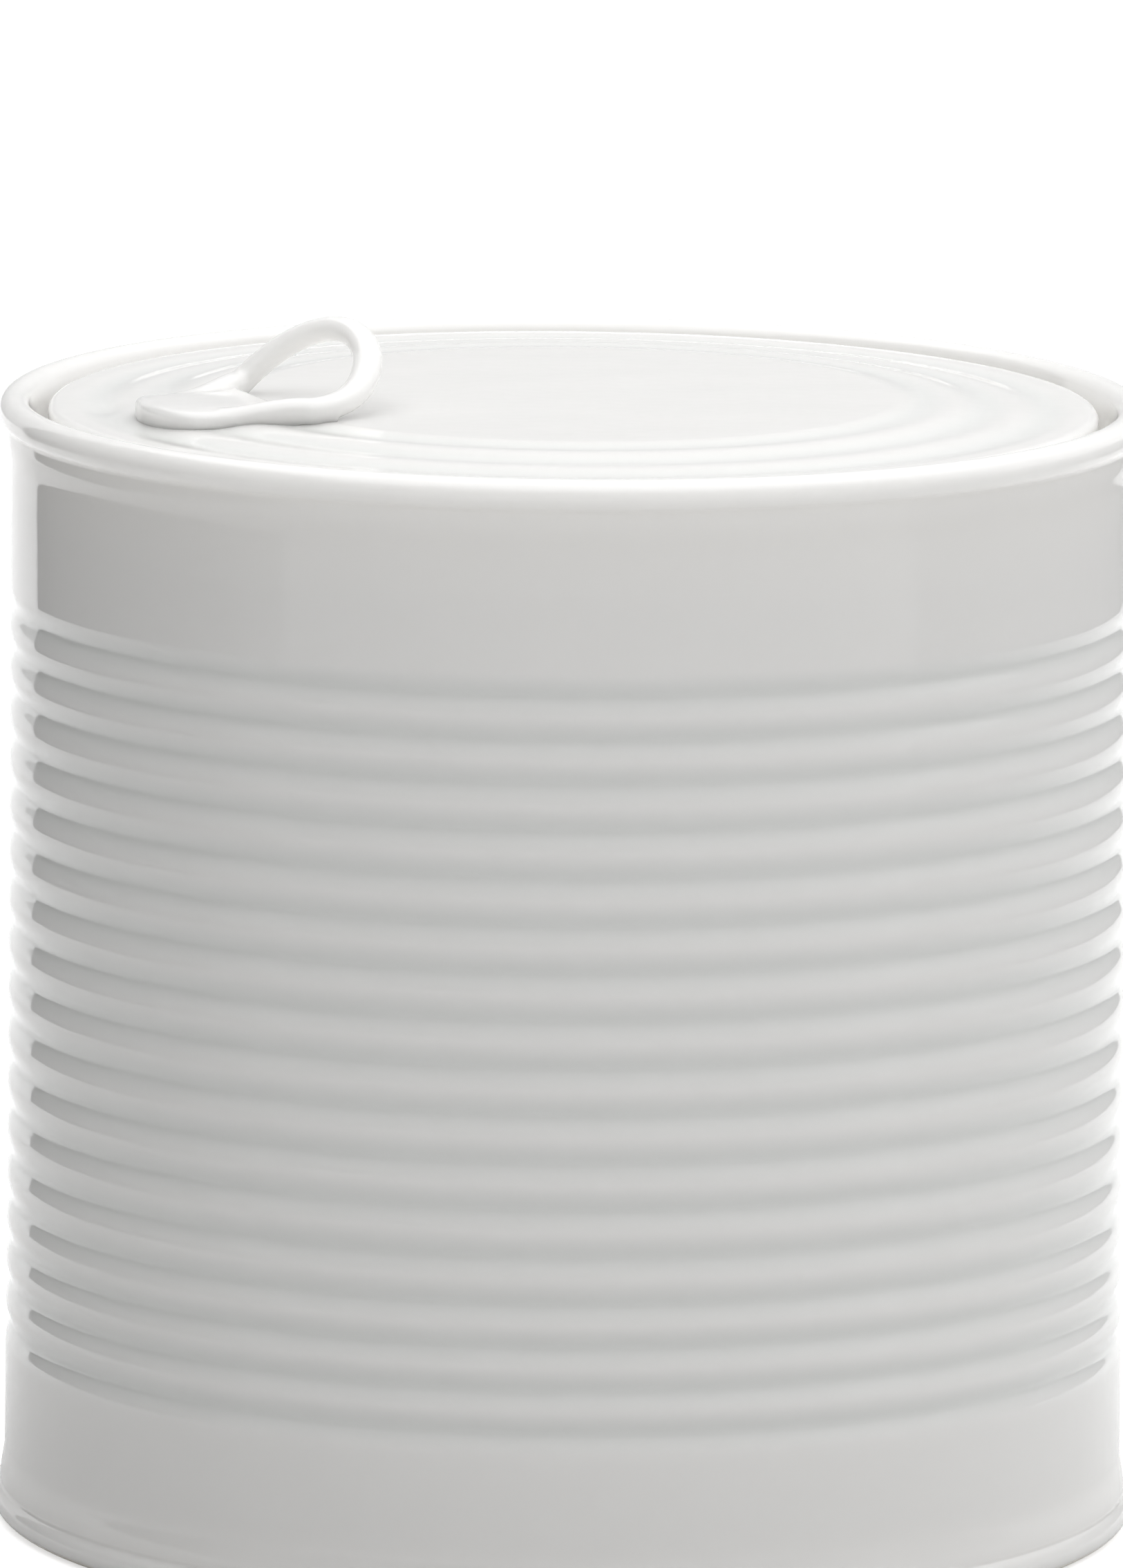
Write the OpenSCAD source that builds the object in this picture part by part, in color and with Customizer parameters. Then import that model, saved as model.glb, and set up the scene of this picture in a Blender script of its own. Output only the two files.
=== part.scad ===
// Porcelain storage jar shaped like a wide ribbed food tin, with a drop-in lid and a ring-pull handle.
// Origin: centre of the foot, on the surface that the jar stands on. +Z up, -Y is the front.

/* [Jar] */
// Diameter over the rolled rim
rim_d = 156; // [150:1:180]
// Height of the jar without its handle
jar_h = 154; // [150:1:200]
// Thickness of the rolled rim and of the base bead
bead_t = 4.4; // [3.6:0.2:5]
// How far the beads stand proud of the wall
bead_proud = 1.6; // [1.2:0.1:2]
// Thickness of the cast wall
wall_t = 4; // [3:0.5:6]
// Thickness of the cast floor
floor_t = 5; // [4:0.5:8]

/* [Grooves] */
// Number of grooves round the body
groove_count = 17; // [6:1:17]
// Distance from one groove to the next
groove_pitch = 6.35; // [5.8:0.01:6.4]
// The same for the two top and the three bottom steps, which are tighter
end_pitch = 5.8; // [5:0.01:6.4]
// Depth of a groove
groove_depth = 0.8; // [0.4:0.1:1.2]
// Depth of the first groove below the middle of the rim bead
first_groove = 26.5; // [22:0.1:28]

/* [Mouth] */
// Distance from the outside of the rim to the recess for the lid
mouth_inset = 5; // [4.6:0.1:6]
// Width of the ledge that the lid rests on
ledge_w = 4.6; // [4:0.1:6]
// Depth of the ledge below the top of the rim
ledge_drop = 6.4; // [6:0.2:9]

/* [Lid] */
// Gap round the lid
lid_gap = 1.8; // [0.8:0.1:2.2]
// How far the edge of the lid lies below the top of the rim
lid_drop = 1.2; // [0.4:0.1:2]
// How far the middle of the lid stands above its edge
lid_crown = 1.5; // [0.8:0.1:2]
// Distance from one ring of the lid to the next
ring_pitch = 8.3; // [7:0.1:8.6]
// Height of the rings of the lid
ring_rise = 0.3; // [0.1:0.05:0.5]
// Depth of the locating flange under the lid
flange_h = 8; // [6:0.5:12]
// Thickness of the locating flange
flange_t = 3.6; // [3:0.2:5]

/* [Ring pull] */
// Distance from the middle of the lid to the nose of the ring pull
nose_r = 62.2; // [58:0.1:63]
// Turn of the ring pull about the middle of the lid
pull_turn = 21.8; // [0:0.1:360]
// Width over the loop
pull_w = 31; // [26:0.2:32]
// Length from the nose to the end of the loop, seen from above
pull_l = 33.2; // [32:0.2:36]
// Width of the bar of the loop
bar_w = 4; // [3.4:0.1:4.2]
// Thickness of the bar
bar_t = 3.4; // [2.8:0.1:3.6]
// Thickness of the nose, which is pressed flatter than the bar
nose_t = 2.1; // [1.6:0.1:2.6]
// Rise of the end of the loop
pull_rise = 7.2; // [5:0.2:9]
// How much further the far side of the loop rises, and the near side less
pull_roll = 4.2; // [0:0.2:5]

/* [Hidden] */
white = [0.93, 0.93, 0.915];
bead_r = bead_t / 2;
bead_c = rim_d / 2 - bead_r;        // radius at which the bead is centred
wall_r = rim_d / 2 - bead_proud;    // outside of the plain wall
bore_r = wall_r - wall_t;
rim_z = jar_h - bead_r;
tight_top = 2;                      // number of tighter steps above and below
tight_base = 3;
cove_h = 5.2;                       // flare between the wall and a bead
cove_out = 0.55;
foot_out = rim_d / 2 - 4.6;         // unglazed foot ring
foot_in = foot_out - 4;
foot_h = 1.6;
floor_z = foot_h + floor_t;
corner_r = 5;                       // rounding between floor and wall
mouth_r = rim_d / 2 - mouth_inset;
ledge_r = mouth_r - ledge_w;
ledge_z = jar_h - ledge_drop;
ledge_t = 3;
ledge_fade = 9;                     // height over which the ledge thins back to the wall
rest_gap = 0.2;                     // glaze clearance under the lid
lid_r = mouth_r - lid_gap;
lid_edge = 1.2;                     // rounding of the edge of the lid
lid_edge_z = jar_h - lid_drop;
lid_top_z = lid_edge_z + lid_crown;
lid_under_z = ledge_z + rest_gap;
flange_r = ledge_r - 1;
ring_count = 3;
ring_end = lid_r - 2.8;
panel_r = ring_end - ring_count * ring_pitch;
plate_l = 18;                       // length of the solid nose
sink = 0.3;                         // how far the handle is pressed into the lid
loop_from = 19;                     // where the loop starts to rise
loop_len = pull_l - bar_w / 2 - loop_from;
loop_half = pull_w / 2 - bar_w / 2;
root_from = 8;                      // where the bar comes out of the nose
hole_r = pull_w / 2 - bar_w - 0.9;

// an arc as points, from angle a0 to angle a1
function arc(cx, cy, r, a0, a1, n = 8) =
    [for (i = [0:n]) let (a = a0 + (a1 - a0) * i / n) [cx + r * cos(a), cy + r * sin(a)]];

// height of groove k, counted from the top
function groove_z(k) =
    rim_z - first_groove - k * groove_pitch
    + (groove_pitch - end_pitch) * (min(k, tight_top) + max(k - groove_count + 1 + tight_base, 0));
// distance between the grooves that lie above and below height z
function step_at(z) =
    z > groove_z(tight_top) || z < groove_z(groove_count - 1 - tight_base) ? end_pitch : groove_pitch;
// radius of the grooved wall at height z: flat beside the grooves, tight valleys and round crests
function soften(u) = (sqrt(u * u + 0.04) - 0.2) / (sqrt(1.04) - 0.2);
function wall_at(z) =
    let (gap = min([for (k = [0:groove_count - 1]) abs(z - groove_z(k))]), u = min(1, 2 * gap / step_at(z)))
    wall_r - groove_depth * (1 - sin(90 * soften(u)));

// top of the lid at radius r: a flat panel, then shallow rings that step down to the edge
function lid_at(r) =
    let (t = min(max((r - panel_r) / (ring_end - panel_r), 0), 1))
    lid_top_z - lid_crown * t * t * (3 - 2 * t) - ring_rise * (1 - cos(360 * ring_count * t)) / 2;

// half width of the solid nose at a distance s from its tip: round tip, slight waist, then wider
function nose_half(s) =
    s < 5 ? 9.6 * sqrt(max(1 - pow(1 - s / 5, 2), 0)) : 9.6 + (pull_w / 2 - 9.6) * pow((s - 5) / 14, 2);

// middle of the loop's bar: half an ellipse that rises towards its end, more on the far side
function loop_at(a) =
    let (t = cos(a), lift = pow(t, 1.3 - 0.3 * sin(a)))
    [loop_from + loop_len * t, loop_half * sin(a), bar_t / 2 - sink + lift * (pull_rise + pull_roll * sin(a))];
// the bar as it comes up out of the nose, side = -1 near and 1 far
function root_at(s, side) =
    let (still = (loop_from - s) / (loop_from - root_from))
    [s, side * (nose_half(s) - bar_w / 2), bar_t / 2 - sink - (bar_t - nose_t) * still];

function unit(v) = v / norm(v);
function along(path, i) = unit(path[min(i + 1, len(path) - 1)] - path[max(i - 1, 0)]);

// oval bar along a path: its width lies level and its thickness stands up
module swept_bar(path, w, t, sides = 12) {
    rings = [for (i = [0:len(path) - 1])
        let (d = along(path, i), side = unit(cross(d, [0, 0, 1])), up = cross(side, d))
        for (k = [0:sides - 1])
            path[i] + side * (w / 2) * cos(360 * k / sides) + up * (t / 2) * sin(360 * k / sides)];
    last = (len(path) - 1) * sides;
    walls = [for (i = [0:len(path) - 2], k = [0:sides - 1])
        [i * sides + k, i * sides + (k + 1) % sides, (i + 1) * sides + (k + 1) % sides, (i + 1) * sides + k]];
    ends = [[for (k = [sides - 1:-1:0]) k], [for (k = [0:sides - 1]) last + k]];
    polyhedron(rings, concat(walls, ends));
}

module jar_body() {
    groove_top = groove_z(0) + end_pitch / 2;
    groove_end = groove_z(groove_count - 1) - end_pitch / 2;
    slices = groove_count * 10;
    foot = [[0, foot_h], [foot_in, foot_h], [foot_in, 0], [foot_out, 0]];
    base_bead = arc(bead_c, bead_r, bead_r, -75, 62);
    flare_up = [[wall_r + cove_out * 0.3, bead_t + cove_h / 2], [wall_r, bead_t + cove_h]];
    grooves = [for (i = [0:slices]) let (z = groove_end + (groove_top - groove_end) * i / slices) [wall_at(z), z]];
    flare_out = [[wall_r, jar_h - bead_t - cove_h], [wall_r + cove_out * 0.3, jar_h - bead_t - cove_h / 2]];
    rim_bead = arc(bead_c, rim_z, bead_r, -62, 165);
    mouth = [[mouth_r, rim_z - 1], [mouth_r, ledge_z], [ledge_r, ledge_z], [ledge_r, ledge_z - ledge_t]];
    inside = concat([[bore_r, ledge_z - ledge_t - ledge_fade]],
                    arc(bore_r - corner_r, floor_z + corner_r, corner_r, 0, -90), [[0, floor_z]]);
    color(white)
        rotate_extrude($fn = 180)
            polygon(concat(foot, base_bead, flare_up, grooves, flare_out, rim_bead, mouth, inside));
}

module lid() {
    slices = 48;
    top = [for (i = [0:slices]) let (r = (lid_r - lid_edge) * i / slices) [r, lid_at(r)]];
    edge = arc(lid_r - lid_edge, lid_edge_z - lid_edge, lid_edge, 75, 0, 5);
    flange = [[lid_r, lid_under_z], [flange_r, lid_under_z], [flange_r - 0.4, lid_under_z - flange_h],
              [flange_r - flange_t, lid_under_z - flange_h], [flange_r - flange_t - 0.6, lid_under_z + 0.6]];
    color(white)
        rotate_extrude($fn = 180)
            polygon(concat([[0, lid_under_z + 0.6]], top, edge, flange));
}

module ring_pull() {
    nose = [for (i = [1:24]) let (s = plate_l * pow(i / 24, 1.5)) [s, nose_half(s)]];
    outline = concat([[0, 0]], nose, [for (i = [23:-1:0]) [nose[i][0], -nose[i][1]]]);
    roots = [for (i = [0:3]) root_from + (loop_from - root_from) * i / 4];
    bar = concat([for (i = [0:3]) root_at(roots[i], -1)],
                 [for (a = [-90:4.5:90]) loop_at(a)],
                 [for (i = [3:-1:0]) root_at(roots[i], 1)]);
    color(white)
        rotate([0, 0, pull_turn]) translate([-nose_r, 0, lid_top_z]) {
            difference() {
                translate([0, 0, -lid_crown - sink]) linear_extrude(nose_t + lid_crown) polygon(outline);
                translate([loop_from + 5, 0, -lid_crown - 1]) cylinder(r = hole_r, h = 10, $fn = 64);
            }
            swept_bar(bar, bar_w, bar_t);
        }
}

jar_body();
lid();
ring_pull();
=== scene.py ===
import math

import bmesh
import bpy
import numpy as np
from mathutils import Matrix, Vector


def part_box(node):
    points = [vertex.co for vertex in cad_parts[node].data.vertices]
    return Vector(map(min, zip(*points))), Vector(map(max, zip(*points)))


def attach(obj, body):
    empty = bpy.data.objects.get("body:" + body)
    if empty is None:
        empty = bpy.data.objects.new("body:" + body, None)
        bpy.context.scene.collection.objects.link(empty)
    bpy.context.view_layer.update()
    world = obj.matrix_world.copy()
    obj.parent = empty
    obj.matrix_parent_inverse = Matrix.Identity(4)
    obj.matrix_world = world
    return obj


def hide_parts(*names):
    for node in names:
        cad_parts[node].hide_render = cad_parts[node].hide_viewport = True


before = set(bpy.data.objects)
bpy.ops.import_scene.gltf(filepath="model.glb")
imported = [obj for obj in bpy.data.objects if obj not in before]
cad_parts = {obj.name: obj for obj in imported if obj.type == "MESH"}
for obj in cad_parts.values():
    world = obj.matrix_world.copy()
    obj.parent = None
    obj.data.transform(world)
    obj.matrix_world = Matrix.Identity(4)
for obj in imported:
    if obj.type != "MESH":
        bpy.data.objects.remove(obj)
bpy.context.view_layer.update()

mm = 0.001
bodyLow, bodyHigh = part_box("jar_body")
rimRadius = bodyHigh.x
rimTop = bodyHigh.z
print("frame loaded: jar", round(2 * rimRadius / mm, 1), "mm across,", round(rimTop / mm, 1), "mm high")

# camera
view = {
    "lens": 372.6,          # a long lens, about 2.2 m away
    "distance": 2.2,        # from the middle of the rim
    "elevation": 8.4,       # above the rim, in degrees
    "tiltDown": 9.715,      # the camera looks down this much, in degrees
    "pan": 0.028,           # and to the left of the jar's middle
    "roll": 0.62,
    "aimBelowRim": 2.2 * mm,    # the middle of the rim bead
}


def placeCamera():
    up = math.radians(view["elevation"])
    camera = bpy.data.objects.new("camera", bpy.data.cameras.new("camera"))
    bpy.context.scene.collection.objects.link(camera)
    camera.data.lens = view["lens"]
    camera.data.clip_start = 0.05
    camera.data.clip_end = 50
    rimMiddle = Vector((0, 0, rimTop - view["aimBelowRim"]))
    camera.location = rimMiddle + view["distance"] * Vector((0, -math.cos(up), math.sin(up)))
    turn = Matrix.Rotation(math.radians(view["pan"]), 3, "Z")
    turn = turn @ Matrix.Rotation(math.radians(90 - view["tiltDown"]), 3, "X")
    turn = turn @ Matrix.Rotation(math.radians(view["roll"]), 3, "Z")
    camera.rotation_euler = turn.to_euler()
    bpy.context.scene.camera = camera


placeCamera()
print("camera placed")


# making meshes
def arc(cx, cy, radius, fromAngle, toAngle, count=12):
    # points of a circle from one angle to another, in degrees
    a = np.radians(np.linspace(fromAngle, toAngle, count))
    return np.stack([cx + radius * np.cos(a), cy + radius * np.sin(a)], axis=1)


def gridMesh(name, points):
    # points[i, j] is the surface at step i along and step j round; neighbours make quads
    along, around = points.shape[:2]
    index = np.arange(along * around).reshape(along, around)
    right = np.roll(index, -1, axis=1)
    quads = np.stack([index[:-1], right[:-1], right[1:], index[1:]], axis=-1).reshape(-1, 4)
    mesh = bpy.data.meshes.new(name)
    mesh.from_pydata(points.reshape(-1, 3), [], quads.tolist())
    return mesh


def cleanMesh(mesh, distance=1e-6):
    # poles and seams are merged, then every face is turned outwards
    work = bmesh.new()
    work.from_mesh(mesh)
    bmesh.ops.remove_doubles(work, verts=work.verts, dist=distance)
    bmesh.ops.dissolve_degenerate(work, edges=work.edges, dist=distance / 10)
    bmesh.ops.recalc_face_normals(work, faces=work.faces)
    work.to_mesh(mesh)
    work.free()
    mesh.shade_smooth()


def addPiece(name, mesh, body, node):
    piece = bpy.data.objects.new(name, mesh)
    bpy.context.scene.collection.objects.link(piece)
    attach(piece, body)
    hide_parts(node)
    return piece


def setAttribute(mesh, name, values):
    layer = mesh.attributes.new(name, "FLOAT", "POINT")
    layer.data.foreach_set("value", values.astype(np.float32))


def coordinates(mesh):
    co = np.zeros(len(mesh.vertices) * 3, np.float32)
    mesh.vertices.foreach_get("co", co)
    return co.reshape(-1, 3).astype(float)


def smoothStep(t):
    t = np.clip(t, 0, 1)
    return t * t * (3 - 2 * t)


# jar body
jar = {
    "beadRadius": 2.2 * mm,
    "beadProud": 1.6 * mm,      # rim and base bead beyond the wall
    "wall": 4.0 * mm,
    "floor": 6.6 * mm,          # height of the inside floor
    "flareHeight": 5.2 * mm,
    "flareOut": 0.55 * mm,
    "grooves": 17,
    "groovePitch": 6.35 * mm,
    "endPitch": 5.8 * mm,       # the two top steps and the three bottom steps are tighter
    "tightTop": 2,
    "tightBase": 3,
    "grooveDepth": 0.66 * mm,   # 0.8 mm in CAD, shallower here so that the ribs shade less
    "firstGroove": 26.5 * mm,   # below the middle of the rim bead
    "valleySoftness": 0.2,      # share of half a pitch that the glaze rounds
    "mouthInset": 5.0 * mm,
    "ledgeWidth": 4.6 * mm,
    "ledgeDrop": 6.4 * mm,
    "ledgeThick": 3.0 * mm,
    "ledgeFade": 9.0 * mm,
    "footOut": 73.4 * mm,
    "footIn": 69.4 * mm,
    "footHigh": 1.6 * mm,
    "footEdge": 0.6 * mm,       # rounding of the foot ring
    "bareTo": (0.5 * mm, 1.1 * mm),     # the glaze starts between these heights
    "ledgeEdge": 0.8 * mm,
    "corner": 5.0 * mm,         # rounding between floor and wall
    "around": 200,
    "warp": 0.12 * mm,          # how far the wall is out of round, a guess
}
wallRadius = rimRadius - jar["beadProud"]
beadCentre = rimRadius - jar["beadRadius"]
rimMiddleZ = rimTop - jar["beadRadius"]
steps = np.full(jar["grooves"] - 1, jar["groovePitch"])
steps[:jar["tightTop"]] = jar["endPitch"]
steps[-jar["tightBase"]:] = jar["endPitch"]
grooveZ = rimMiddleZ - jar["firstGroove"] - np.concatenate([[0], np.cumsum(steps)])


def grooveShare(z):
    # 0 in the bottom of a groove, 1 on a crest or on the plain bands
    tight = (z > grooveZ[jar["tightTop"]]) | (z < grooveZ[-1 - jar["tightBase"]])
    halfStep = np.where(tight, jar["endPitch"], jar["groovePitch"]) / 2
    gap = np.abs(z[:, None] - grooveZ[None, :]).min(axis=1) / halfStep
    s = jar["valleySoftness"]
    return (np.sqrt(np.minimum(gap, 1) ** 2 + s * s) - s) / (math.sqrt(1 + s * s) - s)


def jarProfile():
    # radius and height from the middle of the foot, up the outside, over the rim and down the inside
    top, bead, edge = rimTop, jar["beadRadius"], jar["footEdge"]
    grooveTop = grooveZ[0] + jar["endPitch"] / 2
    grooveEnd = grooveZ[-1] - jar["endPitch"] / 2
    foot = np.array([[0, jar["footHigh"]], [20 * mm, jar["footHigh"]], [50 * mm, jar["footHigh"]]])
    footRing = np.concatenate([
        np.array([[jar["footIn"], jar["footHigh"]]]),
        arc(jar["footIn"] + edge, edge, edge, 180, 270, 6),
        arc(jar["footOut"] - edge, edge, edge, 270, 330, 6),
    ])
    baseBead = arc(beadCentre, bead, bead, -78, 58, 20)
    flareTop = jar["flareHeight"] + 2 * bead
    z = np.linspace(baseBead[-1, 1] + 0.5 * mm, flareTop, 12)
    fading = 1 - smoothStep((z - z[0]) / (z[-1] - z[0]))
    flareUp = np.stack([wallRadius + jar["flareOut"] * fading, z], axis=1)
    z = np.linspace(flareTop, grooveEnd, 14)[1:-1]
    lowerBand = np.stack([np.full_like(z, wallRadius), z], axis=1)
    z = np.linspace(grooveEnd, grooveTop, jar["grooves"] * 12 + 1)
    ribs = np.stack([wallRadius - jar["grooveDepth"] * (1 - np.sin(math.pi / 2 * grooveShare(z))), z], axis=1)
    z = np.linspace(grooveTop, top - flareTop, 14)[1:-1]
    upperBand = np.stack([np.full_like(z, wallRadius), z], axis=1)
    flareOut = flareUp[::-1] * [1, -1] + [0, top]
    rimBead = arc(beadCentre, rimMiddleZ, bead, -58, 168, 30)
    mouth, ledge = rimRadius - jar["mouthInset"], rimRadius - jar["mouthInset"] - jar["ledgeWidth"]
    ledgeZ = top - jar["ledgeDrop"]
    inner, soft, corner = wallRadius - jar["wall"], jar["ledgeEdge"], jar["corner"]
    mouthWall = np.array([[mouth, rimMiddleZ - 0.8 * mm], [mouth, ledgeZ + 1.5 * mm]])
    ledgeTop = np.concatenate([
        arc(mouth - soft, ledgeZ + soft, soft, 0, -90, 6),
        arc(ledge + soft, ledgeZ - soft, soft, 90, 180, 6),
    ])
    ledgeLow = ledgeZ - jar["ledgeThick"]
    z = np.linspace(ledgeLow, ledgeLow - jar["ledgeFade"], 10)
    fade = np.stack([ledge + (inner - ledge) * smoothStep((z[0] - z) / jar["ledgeFade"]), z], axis=1)
    z = np.linspace(fade[-1, 1], jar["floor"] + corner, 12)[1:-1]
    inside = np.stack([np.full_like(z, inner), z], axis=1)
    turn = arc(inner - corner, jar["floor"] + corner, corner, 0, -90, 12)
    floor = np.array([[50 * mm, jar["floor"]], [20 * mm, jar["floor"]], [0, jar["floor"]]])
    return np.concatenate([foot, footRing, baseBead, flareUp, lowerBand, ribs, upperBand, flareOut,
                           rimBead, mouthWall, ledgeTop, fade, inside, turn, floor])


def revolve(profile, around):
    # each radius and height of the profile, turned once about Z
    a = np.linspace(0, 2 * math.pi, around, endpoint=False)
    r, z = profile[:, :1], profile[:, 1:]
    return np.stack([r * np.cos(a), r * np.sin(a), z + 0 * a], axis=-1)


def makeJar():
    points = revolve(jarProfile(), jar["around"])
    angle = np.arctan2(points[..., 1], points[..., 0])
    radius = np.hypot(points[..., 0], points[..., 1])
    # warp: two gentle swells round the wall, which fade out at the foot and at the top of the rim
    swell = np.sin(math.pi * np.clip(points[..., 2] / rimTop, 0, 1))
    shift = -jar["warp"] * swell * (0.5 + 0.5 * np.cos(2 * angle + 0.7))
    scale = np.where(radius > 30 * mm, 1 + shift / np.maximum(radius, mm), 1)
    points[..., 0] *= scale
    points[..., 1] *= scale
    mesh = gridMesh("jar_body_glazed", points)
    cleanMesh(mesh)
    co = coordinates(mesh)
    r = np.hypot(co[:, 0], co[:, 1])
    outside = (r > wallRadius - 2 * mm) & (co[:, 2] > 8 * mm) & (co[:, 2] < rimTop - 8 * mm)
    setAttribute(mesh, "glazePool", np.where(outside, 1 - grooveShare(co[:, 2]), 0))
    # the glaze is wiped off the foot ring that stands on the kiln shelf
    low, high = jar["bareTo"]
    setAttribute(mesh, "bareClay", 1 - smoothStep((co[:, 2] - low) / (high - low)))
    return addPiece("jar_body_glazed", mesh, "jar", "jar_body")


jarPiece = makeJar()
print("jar body made:", len(jarPiece.data.polygons), "faces")

# lid
lid = {
    "gap": 1.8 * mm,
    "drop": 1.2 * mm,           # edge of the lid below the top of the rim
    "crown": 1.5 * mm,          # middle above the edge
    "edge": 1.2 * mm,
    "rings": 3,
    "ringPitch": 8.3 * mm,
    "ringRise": 0.3 * mm,
    "flangeHigh": 8.0 * mm,
    "flangeWall": 3.6 * mm,
    "flangeGap": 1.0 * mm,      # between the flange and the ledge
    "restGap": 0.2 * mm,        # under the lid
    "ringsStop": 2.8 * mm,      # inside the edge of the lid
    "dimpleAt": (-62.7 * mm, -7.5 * mm),
    "dimpleSize": (2.9 * mm, 7.0 * mm),
    "dimpleDeep": 0.45 * mm,
    "around": 240,
}
lidRadius = rimRadius - jar["mouthInset"] - lid["gap"]
lidEdgeZ = rimTop - lid["drop"]
lidTopZ = lidEdgeZ + lid["crown"]
lidUnderZ = rimTop - jar["ledgeDrop"] + lid["restGap"]
ringEnd = lidRadius - lid["ringsStop"]
panelRadius = ringEnd - lid["rings"] * lid["ringPitch"]


def ringShare(r):
    # 0 on the flat panel, 1 at the end of the last ring
    return np.clip((r - panelRadius) / (ringEnd - panelRadius), 0, 1)


def ringHollow(r):
    # 0 on the crest of a ring, 1 in the hollow between two: (1 - cos(2 pi rings t)) / 2
    return (1 - np.cos(2 * math.pi * lid["rings"] * ringShare(r))) / 2


def lidHeight(r):
    # flat panel, then shallow rings that step down to the edge
    return lidTopZ - lid["crown"] * smoothStep(ringShare(r)) - lid["ringRise"] * ringHollow(r)


def makeLid():
    edge = lid["edge"]
    flange = rimRadius - jar["mouthInset"] - jar["ledgeWidth"] - lid["flangeGap"]
    inner = flange - lid["flangeWall"]
    r = np.concatenate([np.linspace(0, panelRadius, 16), np.linspace(panelRadius, lidRadius - edge, 60)[1:]])
    top = np.stack([r, lidHeight(r)], axis=1)
    rim = arc(lidRadius - edge, lidEdgeZ - edge, edge, 80, 0, 8)
    under = np.concatenate([
        arc(lidRadius - 0.6 * mm, lidUnderZ + 0.6 * mm, 0.6 * mm, 0, -90, 5),
        arc(flange + 0.8 * mm, lidUnderZ - 0.8 * mm, 0.8 * mm, 90, 180, 5),
        arc(flange - 1.2 * mm, lidUnderZ - lid["flangeHigh"] + 1.2 * mm, 1.0 * mm, -10, -90, 6),
        arc(inner + 1.2 * mm, lidUnderZ - lid["flangeHigh"] + 1.2 * mm, 1.2 * mm, 270, 180, 6),
        arc(inner - 2 * mm, lidUnderZ - 1.4 * mm, 2 * mm, 0, 90, 8),
        np.stack([[45 * mm, 20 * mm, 0], np.full(3, lidUnderZ + 0.6 * mm)], axis=1),
    ])
    points = revolve(np.concatenate([top, rim, under]), lid["around"])
    # thumb dimple: a soft oval hollow pressed into the top only
    dx = (points[..., 0] - lid["dimpleAt"][0]) / lid["dimpleSize"][0]
    dy = (points[..., 1] - lid["dimpleAt"][1]) / lid["dimpleSize"][1]
    onTop = points[..., 2] > lidEdgeZ - edge
    points[..., 2] -= lid["dimpleDeep"] * np.exp(-1.4 * (dx * dx + dy * dy)) * onTop
    mesh = gridMesh("lid_glazed", points)
    cleanMesh(mesh)
    co = coordinates(mesh)
    r = np.hypot(co[:, 0], co[:, 1])
    setAttribute(mesh, "glazePool", np.where(co[:, 2] > lidEdgeZ - edge, ringHollow(r), 0))
    return addPiece("lid_glazed", mesh, "lid", "lid")


lidPiece = makeLid()
print("lid made:", len(lidPiece.data.polygons), "faces")

# ring pull
pull = {
    "noseRadius": 62.2 * mm,    # from the middle of the lid to the tip of the nose
    "turn": 21.8,               # degrees
    "width": 31.0 * mm,
    "length": 33.2 * mm,
    "barWide": 4.1 * mm,
    "barThick": 3.5 * mm,
    "sink": 0.3 * mm,           # how far it is pressed into the lid
    "noseThick": 1.8 * mm,      # the nose is pressed flatter than the bar
    "slipTo": 22.5 * mm,        # slip fills the gap under the near arm up to here
    "noseHalf": 9.6 * mm,
    "noseLength": 17.0 * mm,
    "tipLength": 5.0 * mm,      # the round end of the nose
    "rootFrom": 8.0 * mm,       # where the bar comes out of the nose
    "loopFrom": 19.0 * mm,
    "rise": 7.2 * mm,
    "roll": 4.2 * mm,
    "voxel": 0.3 * mm,
    "squareness": 0.45,         # of the nose's section: 1 is an ellipse, 0 a rectangle
    "noseAround": 64,
}


def noseHalf(s):
    # half width of the nose at distance s from its tip: round tip, then slowly wider
    tip = pull["tipLength"]
    rounded = np.sqrt(np.clip(1 - (1 - np.minimum(s, tip) / tip) ** 2, 0, 1))
    wider = (np.maximum(s - tip, 0) / (pull["loopFrom"] - tip)) ** 2
    return pull["noseHalf"] * rounded + (pull["width"] / 2 - pull["noseHalf"]) * wider


def loopPath():
    # middle of the bar: up out of the nose, along the near arm, round half an ellipse, and back down.
    # The loop's height is lift * (rise + roll * sin a), with lift = cos a to the power 1.3 - 0.3 sin a
    wide, level = pull["barWide"], pull["barThick"] / 2 - pull["sink"]
    half = pull["width"] / 2 - wide / 2
    reach = pull["length"] - wide / 2 - pull["loopFrom"]
    a = np.radians(np.linspace(-90, 90, 97))
    lift = np.clip(np.cos(a), 0, 1) ** (1.3 - 0.3 * np.sin(a))
    loop = np.stack([pull["loopFrom"] + reach * np.cos(a), half * np.sin(a),
                     level + lift * (pull["rise"] + pull["roll"] * np.sin(a))], axis=1)
    s = np.linspace(pull["rootFrom"], pull["loopFrom"], 16)[:-1]
    still = 1 - smoothStep((s - s[0]) / (pull["loopFrom"] - s[0]))
    lower = (pull["barThick"] - pull["noseThick"]) * still
    root = np.stack([s, noseHalf(s) - wide / 2, level - lower], axis=1)
    return np.concatenate([root * [1, -1, 1], loop, root[::-1]])


def sweptBar(path, wide, thick, around=24):
    # an oval carried along a path, its width level and its thickness upright
    step = np.gradient(path, axis=0)
    step /= np.linalg.norm(step, axis=1)[:, None]
    side = np.cross(step, [0, 0, 1])
    side /= np.linalg.norm(side, axis=1)[:, None]
    up = np.cross(side, step)
    a = np.linspace(0, 2 * math.pi, around, endpoint=False)
    return (path[:, None] + side[:, None] * (wide / 2 * np.cos(a))[None, :, None]
            + up[:, None] * (thick / 2 * np.sin(a))[None, :, None])


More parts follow.
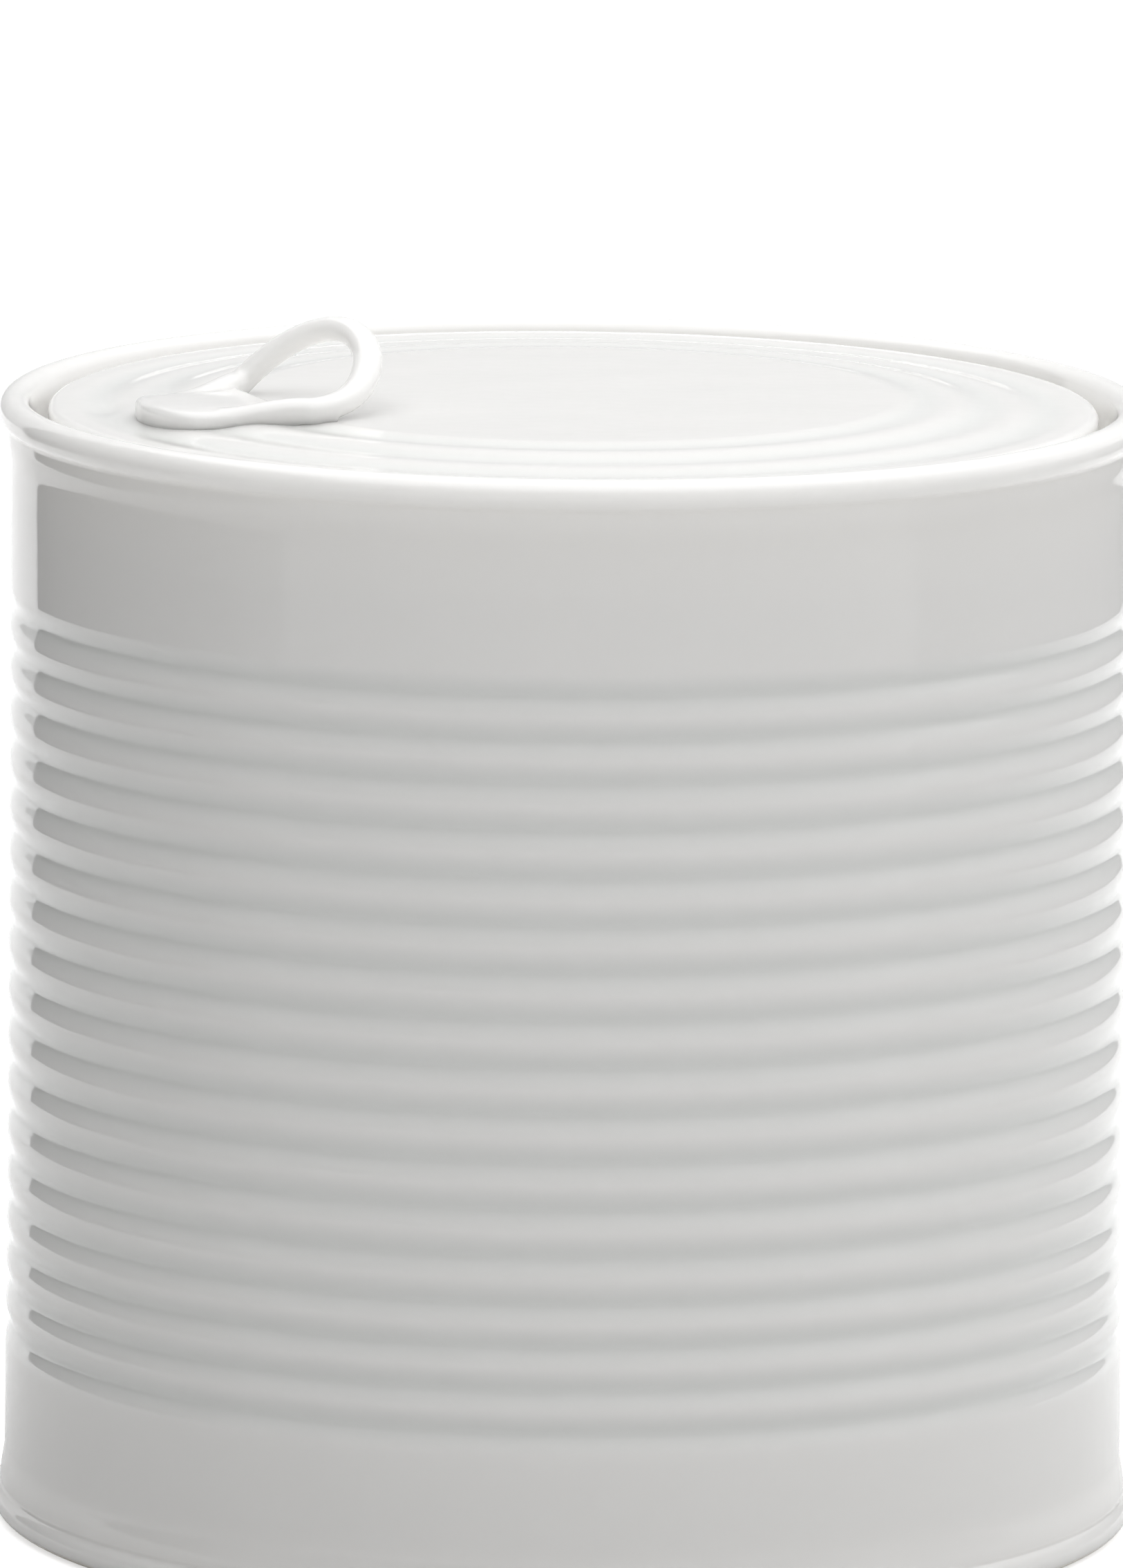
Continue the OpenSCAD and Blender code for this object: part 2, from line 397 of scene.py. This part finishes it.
def toLid(points):
    # from the ring pull's own frame, tip at 0 and the middle of the lid ahead, onto the lid
    a = math.radians(pull["turn"])
    x, y = points[..., 0] - pull["noseRadius"], points[..., 1]
    return np.stack([x * math.cos(a) - y * math.sin(a), x * math.sin(a) + y * math.cos(a),
                     points[..., 2] + lidTopZ], axis=-1)


def makePull():
    bar = sweptBar(loopPath(), pull["barWide"], pull["barThick"])
    # slip: under the near arm, the lower part of the bar reaches down into the lid
    around = bar.shape[1]
    under = (np.arange(around) > 0.55 * around) & (np.arange(around) < 0.95 * around)
    onArm = (bar[..., 1] < 0) & (bar[..., 0] > pull["rootFrom"]) & (bar[..., 0] < pull["slipTo"])
    filled = under[None, :] & onArm
    bar[..., 2] = np.where(filled, np.minimum(bar[..., 2], -pull["sink"]), bar[..., 2])
    bar = toLid(bar)
    ends = [bar[:1].mean(axis=1, keepdims=True).repeat(bar.shape[1], axis=1),
            bar[-1:].mean(axis=1, keepdims=True).repeat(bar.shape[1], axis=1)]
    barMesh = gridMesh("bar", np.concatenate([ends[0], bar, ends[1]]))
    # nose: rows across its width, each an upright slice with rounded edges
    s = pull["noseLength"] * np.linspace(0, 1, 40) ** 1.6
    half = noseHalf(s)
    around, power = pull["noseAround"], pull["squareness"]
    a = np.linspace(0, 2 * math.pi, around, endpoint=False)
    across = np.sign(np.cos(a)) * np.abs(np.cos(a)) ** power
    upright = np.sign(np.sin(a)) * np.abs(np.sin(a)) ** power
    low = -lid["crown"] - 0.5 * mm
    top = pull["noseThick"] - pull["sink"]
    middle, halfThick = (top + low) / 2, (top - low) / 2
    thin = np.sqrt(np.clip(1 - (1 - np.minimum(s / (1.5 * mm), 1)) ** 2, 0, 1))
    nose = np.stack([np.repeat(s[:, None], around, axis=1), half[:, None] * across[None, :],
                     middle + halfThick * upright[None, :] * (0.6 + 0.4 * thin[:, None])], axis=-1)
    nose = toLid(nose)
    caps = [nose[:1].mean(axis=1, keepdims=True).repeat(around, axis=1),
            nose[-1:].mean(axis=1, keepdims=True).repeat(around, axis=1)]
    noseMesh = gridMesh("nose", np.concatenate([caps[0], nose, caps[1]]))
    work = bmesh.new()
    for part in (barMesh, noseMesh):
        cleanMesh(part)
        work.from_mesh(part)
        bpy.data.meshes.remove(part)
    mesh = bpy.data.meshes.new("ring_pull_glazed")
    work.to_mesh(mesh)
    work.free()
    piece = addPiece("ring_pull_glazed", mesh, "lid", "ring_pull")
    remesh = piece.modifiers.new("fuse", "REMESH")
    remesh.mode = "VOXEL"
    remesh.voxel_size = pull["voxel"]
    remesh.use_smooth_shade = True
    soften = piece.modifiers.new("soften", "SMOOTH")
    soften.factor = 0.5
    soften.iterations = 12
    return piece


pullPiece = makePull()
print("ring pull made")


# materials
def linear(hexColour):
    # sRGB hex to linear, as Blender's colour sockets want it
    parts = [int(hexColour[i:i + 2], 16) / 255 for i in (1, 3, 5)]
    return [p / 12.92 if p <= 0.04045 else ((p + 0.055) / 1.055) ** 2.4 for p in parts] + [1]


def addNode(tree, kind, settings=(), links=()):
    # one node, its settings by name or socket, and its inputs from other nodes' outputs
    node = tree.nodes.new(kind)
    for key, value in dict(settings).items():
        if isinstance(key, str) and hasattr(node, key):
            setattr(node, key, value)
        else:
            node.inputs[key].default_value = value
    for key, source in dict(links).items():
        tree.links.new(source, node.inputs[key])
    return node


def addTint(tree, factor, base, tint):
    # mixes a fixed tint over a colour, which is fixed or comes from another node
    mix = addNode(tree, "ShaderNodeMix", {"data_type": "RGBA"})
    if isinstance(base, list):
        mix.inputs["A"].default_value = base
    else:
        tree.links.new(base, mix.inputs["A"])
    mix.inputs["B"].default_value = tint
    tree.links.new(factor, mix.inputs["Factor"])
    return mix.outputs["Result"]


porcelain = {
    "white": "#E9E8E6",
    "pooled": "#E7E8E6",
    "biscuit": "#E9E4D8",
    "speck": "#6B6257",
    "roughness": 0.06,
    "biscuitRoughness": 0.75,
    "ior": 1.5,
    "lightSpread": 6.0 * mm,
    "wave": 26.0,       # mm between swells in the glaze
    "orangePeel": 2.2,  # mm between dimples of the glaze skin
    "waveBump": 0.12,   # strength and height in metres of the swells, then of the dimples
    "waveHigh": 0.002,
    "peelBump": 0.03,
    "peelHigh": 0.0002,
    "speckApart": 22.0,  # mm between the cells that may hold a speck
    "speckSize": 0.013,  # radius of a speck as a share of that
}


def glazedPorcelain(name, isJar=False):
    # glazed white porcelain, slip-cast and fired under a clear glossy glaze: bright, slightly wavy
    # reflections and a cooler tint where the glaze pools. The jar also has a rare iron speck and a
    # matt foot ring, wiped clean of glaze
    material = bpy.data.materials.new(name)
    material.use_nodes = True
    tree = material.node_tree
    shader = tree.nodes["Principled BSDF"]
    shader.inputs["IOR"].default_value = porcelain["ior"]
    shader.inputs["Roughness"].default_value = porcelain["roughness"]
    # light spreads a few millimetres inside the body, as in real porcelain
    shader.inputs["Subsurface Weight"].default_value = 1
    shader.inputs["Subsurface Radius"].default_value = (1, 1, 1)
    shader.inputs["Subsurface Scale"].default_value = porcelain["lightSpread"]
    place = addNode(tree, "ShaderNodeTexCoord")
    wave = addNode(tree, "ShaderNodeTexNoise", {"Scale": 1000 / porcelain["wave"], "Detail": 1.0},
                   {"Vector": place.outputs["Object"]})
    peel = addNode(tree, "ShaderNodeTexNoise", {"Scale": 1000 / porcelain["orangePeel"], "Detail": 0.0},
                   {"Vector": place.outputs["Object"]})
    swell = addNode(tree, "ShaderNodeBump", {"Strength": porcelain["waveBump"],
                                             "Distance": porcelain["waveHigh"]},
                    {"Height": wave.outputs["Fac"]})
    skin = addNode(tree, "ShaderNodeBump", {"Strength": porcelain["peelBump"],
                                            "Distance": porcelain["peelHigh"]},
                   {"Height": peel.outputs["Fac"], "Normal": swell.outputs["Normal"]})
    tree.links.new(skin.outputs["Normal"], shader.inputs["Normal"])
    pool = addNode(tree, "ShaderNodeAttribute", {"attribute_name": "glazePool"})
    colour = addTint(tree, pool.outputs["Fac"], linear(porcelain["white"]), linear(porcelain["pooled"]))
    if isJar:
        cells = addNode(tree, "ShaderNodeTexVoronoi", {"Scale": 1000 / porcelain["speckApart"]},
                        {"Vector": place.outputs["Object"]})
        spot = addNode(tree, "ShaderNodeMath", {"operation": "LESS_THAN", 1: porcelain["speckSize"]},
                       {0: cells.outputs["Distance"]})
        bare = addNode(tree, "ShaderNodeAttribute", {"attribute_name": "bareClay"})
        matt = addNode(tree, "ShaderNodeMix", {"data_type": "FLOAT", "A": porcelain["roughness"],
                                               "B": porcelain["biscuitRoughness"]},
                       {"Factor": bare.outputs["Fac"]})
        tree.links.new(matt.outputs["Result"], shader.inputs["Roughness"])
        colour = addTint(tree, spot.outputs["Value"], colour, linear(porcelain["speck"]))
        colour = addTint(tree, bare.outputs["Fac"], colour, linear(porcelain["biscuit"]))
    tree.links.new(colour, shader.inputs["Base Color"])
    return material


jarPiece.data.materials.append(glazedPorcelain("glazed_porcelain_body", isJar=True))
lidPiece.data.materials.append(glazedPorcelain("glazed_porcelain_lid"))
pullPiece.data.materials.append(glazedPorcelain("glazed_porcelain_handle"))
print("materials made")

# floor and light
studio = {
    "floorSize": 8.0,
    "floor": "#D0D0D0",
    "floorGlow": 0.50,      # a light table behind the jar, none in front of it
    "glowFrom": (-0.10, 0.25),
    "whiteout": 0.55,       # the floor is printed paler than it lights the jar
    "front": 0.30,          # brightness of the room, 1 is display white
    "back": 0.68,
    "sides": 0.25,          # added by the soft boxes at the sides and behind
    "overhead": 2.10,
    "overheadFrom": (0.50, 0.85),   # heights on the sky, 1 is straight up
    "rightward": 0.12,      # how much brighter the right is than the middle
    "backFrom": (-0.75, 0.15),      # depths on the sky, 1 is straight behind the jar
    "boxesFrom": (0.25, 0.60),      # and how far aside
    "boxesBehind": (-0.45, 0.15),
    "leftFlag": {"x": -0.50, "y": (-0.33, 0.53), "high": 0.80, "glow": (0.03, 0.40), "fade": 0.25},
    "rightFlag": {"x": 0.40, "y": (-0.16, 0.80), "high": 0.20, "glow": (0.45, 0.45), "fade": 0.20},
}


def mapRange(tree, value, fromPair, toPair):
    node = addNode(tree, "ShaderNodeMapRange", {"interpolation_type": "SMOOTHSTEP"}, {"Value": value})
    node.inputs["From Min"].default_value, node.inputs["From Max"].default_value = fromPair
    node.inputs["To Min"].default_value, node.inputs["To Max"].default_value = toPair
    return node.outputs["Result"]


def addFloor():
    half = studio["floorSize"] / 2
    mesh = bpy.data.meshes.new("floor")
    corners = [(-half, -half, 0), (half, -half, 0), (half, half, 0), (-half, half, 0)]
    mesh.from_pydata(corners, [], [(0, 1, 2, 3)])
    floor = bpy.data.objects.new("floor", mesh)
    bpy.context.scene.collection.objects.link(floor)
    material = bpy.data.materials.new("studio_floor")
    material.use_nodes = True
    tree = material.node_tree
    shader = tree.nodes["Principled BSDF"]
    shader.inputs["Base Color"].default_value = linear(studio["floor"])
    shader.inputs["Roughness"].default_value = 0.9
    shader.inputs["Emission Color"].default_value = (1, 1, 1, 1)
    place = addNode(tree, "ShaderNodeTexCoord")
    split = addNode(tree, "ShaderNodeSeparateXYZ", {}, {"Vector": place.outputs["Object"]})
    glow = mapRange(tree, split.outputs["Y"], studio["glowFrom"], (0, studio["floorGlow"]))
    seen = addNode(tree, "ShaderNodeLightPath")
    paler = addNode(tree, "ShaderNodeMath", {"operation": "MULTIPLY_ADD", 1: studio["whiteout"]},
                    {0: seen.outputs["Is Camera Ray"], 2: glow})
    tree.links.new(paler.outputs["Value"], shader.inputs["Emission Strength"])
    mesh.materials.append(material)


def addFlag(name, spec):
    # an upright card on the floor, seen only in reflections; it brightens towards its front end
    (y0, y1), x, high = spec["y"], spec["x"], spec["high"]
    mesh = bpy.data.meshes.new(name)
    mesh.from_pydata([(x, y0, 0), (x, y1, 0), (x, y1, high), (x, y0, high)], [], [(0, 1, 2, 3)])
    flag = bpy.data.objects.new(name, mesh)
    bpy.context.scene.collection.objects.link(flag)
    material = bpy.data.materials.new(name)
    material.use_nodes = True
    tree = material.node_tree
    tree.nodes.clear()
    out = tree.nodes.new("ShaderNodeOutputMaterial")
    place = addNode(tree, "ShaderNodeTexCoord")
    split = addNode(tree, "ShaderNodeSeparateXYZ", {}, {"Vector": place.outputs["Object"]})
    fade = mapRange(tree, split.outputs["Y"], (y0, y0 + spec["fade"]), spec["glow"][::-1])
    glow = addNode(tree, "ShaderNodeEmission", {}, {"Strength": fade})
    tree.links.new(glow.outputs["Emission"], out.inputs["Surface"])
    mesh.materials.append(material)
    flag.visible_camera = False


def addWorld():
    # a white room: dim on the camera's side, white behind, soft boxes at the sides, bright overhead
    world = bpy.data.worlds.new("studio")
    bpy.context.scene.world = world
    world.use_nodes = True
    tree = world.node_tree
    place = addNode(tree, "ShaderNodeTexCoord")
    split = addNode(tree, "ShaderNodeSeparateXYZ", {}, {"Vector": place.outputs["Generated"]})
    depth = mapRange(tree, split.outputs["Y"], studio["backFrom"], (studio["front"], studio["back"]))
    aside = addNode(tree, "ShaderNodeMath", {"operation": "ABSOLUTE"}, {0: split.outputs["X"]})
    boxes = mapRange(tree, aside.outputs["Value"], studio["boxesFrom"], (0, studio["sides"]))
    behind = mapRange(tree, split.outputs["Y"], studio["boxesBehind"], (0, 1))
    low = addNode(tree, "ShaderNodeMath", {"operation": "MULTIPLY_ADD"},
                  {0: boxes, 1: behind, 2: depth})
    height = mapRange(tree, split.outputs["Z"], studio["overheadFrom"], (0, 1))
    upper = addNode(tree, "ShaderNodeMix", {"data_type": "FLOAT", "B": studio["overhead"]},
                    {"Factor": height, "A": low.outputs["Value"]})
    side = addNode(tree, "ShaderNodeMath", {"operation": "MULTIPLY_ADD", 1: studio["rightward"]},
                   {0: split.outputs["X"], 2: upper.outputs["Result"]})
    background = tree.nodes["Background"]
    background.inputs["Color"].default_value = (1, 1, 1, 1)
    tree.links.new(side.outputs["Value"], background.inputs["Strength"])


addFloor()
addFlag("left_flag", studio["leftFlag"])
addFlag("right_flag", studio["rightFlag"])
addWorld()
bpy.context.scene.view_settings.view_transform = "Standard"
print("studio made")
